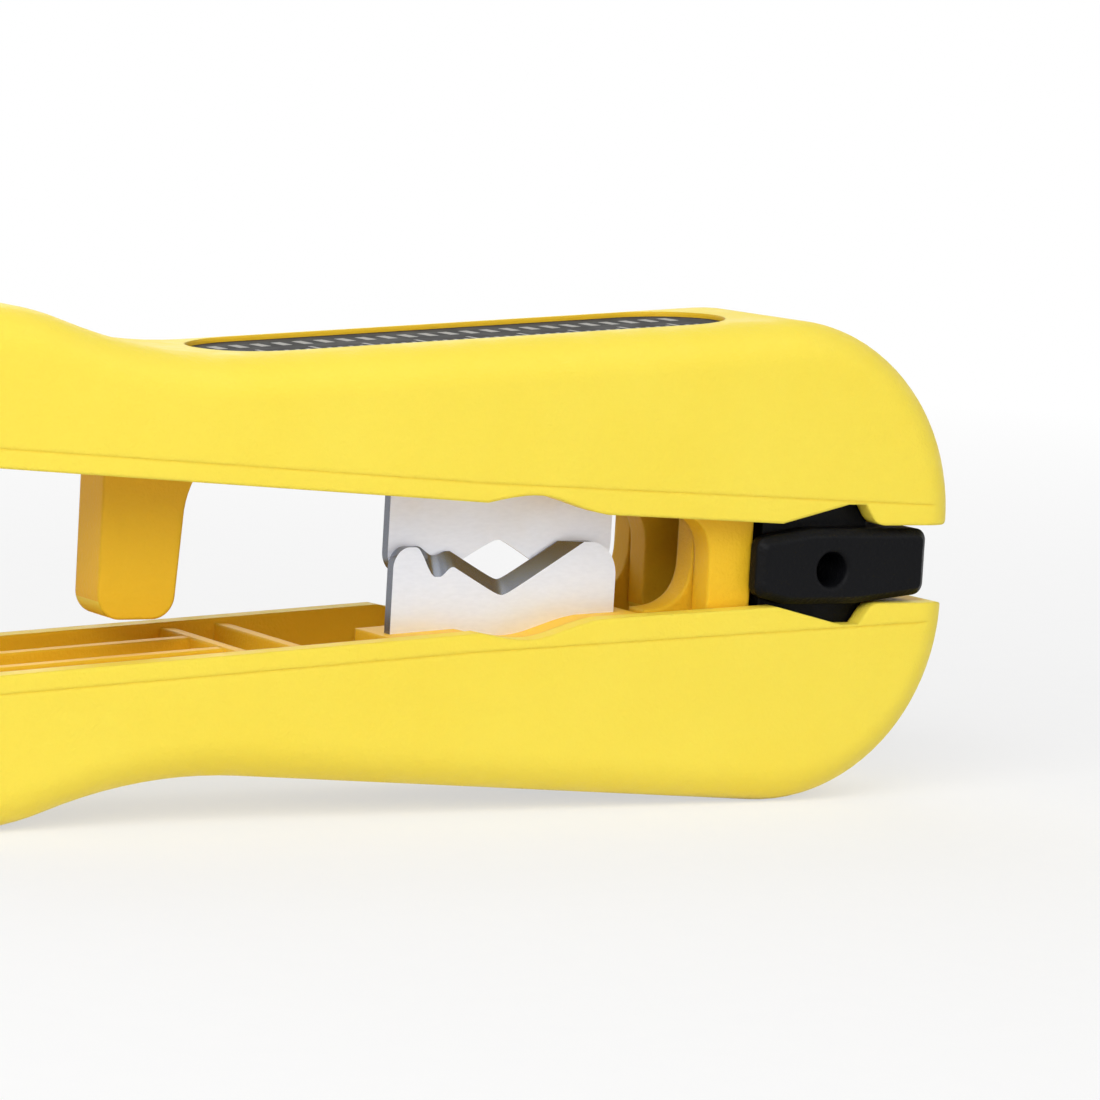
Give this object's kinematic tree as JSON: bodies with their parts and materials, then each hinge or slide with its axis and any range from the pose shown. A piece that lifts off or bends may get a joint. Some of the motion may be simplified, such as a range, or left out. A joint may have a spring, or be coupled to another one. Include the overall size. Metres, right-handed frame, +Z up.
{
  "type": "cable stripper",
  "caption": "Peg-like hand tool with two sprung yellow arms on a black hinge block and a pair of vee-notched steel blades that strip round cable.",
  "frame": {"origin": "centre of the footprint, on the surface that the tool stands on when the lower arm is down", "axes": "+X along the tool towards the hinge end, +Z up from the lower arm to the upper arm, -Y to the near side"},
  "size_m": [0.1, 0.02, 0.0422],
  "materials": {
    "yellow_plastic": "satin, fine moulded grain",
    "black_plastic": "fine moulded grain",
    "blade_steel": "ground and polished",
    "pin_steel": "turned",
    "spring_steel": "drawn wire",
    "label_grey": "satin plate"
  },
  "bodies": {
    "lower_arm": {"lower_arm": "yellow_plastic", "lower_blade": "blade_steel", "lower_blade_carrier": "yellow_plastic", "lower_blade_rivets": "pin_steel"},
    "hinge_block": {"hinge_block": "black_plastic", "lower_pivot_pin": "pin_steel", "upper_pivot_pin": "pin_steel", "lower_spring": "spring_steel", "upper_spring": "spring_steel"},
    "upper_arm": {"upper_arm": "yellow_plastic", "label_plate": "label_grey", "upper_blade": "blade_steel", "upper_blade_carrier": "yellow_plastic", "upper_blade_rivets": "pin_steel"}
  },
  "joints": [
    {"name": "lower_pivot", "type": "hinge", "parent": "lower_arm", "child": "hinge_block", "pos_m": [0.0345, 0, 0.0115], "axis": [0, -1, 0], "range_deg": [0, 3.2], "stiffness_Nm_per_rad": 0.6, "springref_deg": -20.05, "deforming": ["lower_spring"]},
    {"name": "upper_pivot", "type": "hinge", "parent": "hinge_block", "child": "upper_arm", "pos_m": [0.0345, 0, 0.0307], "axis": [0, -1, 0], "range_deg": [0, 3.2], "stiffness_Nm_per_rad": 0.6, "springref_deg": -20.05, "deforming": ["upper_spring"]}
  ],
  "couplings": [
    {"joint": "upper_pivot", "follows": "lower_pivot", "ratio": 1}
  ]
}
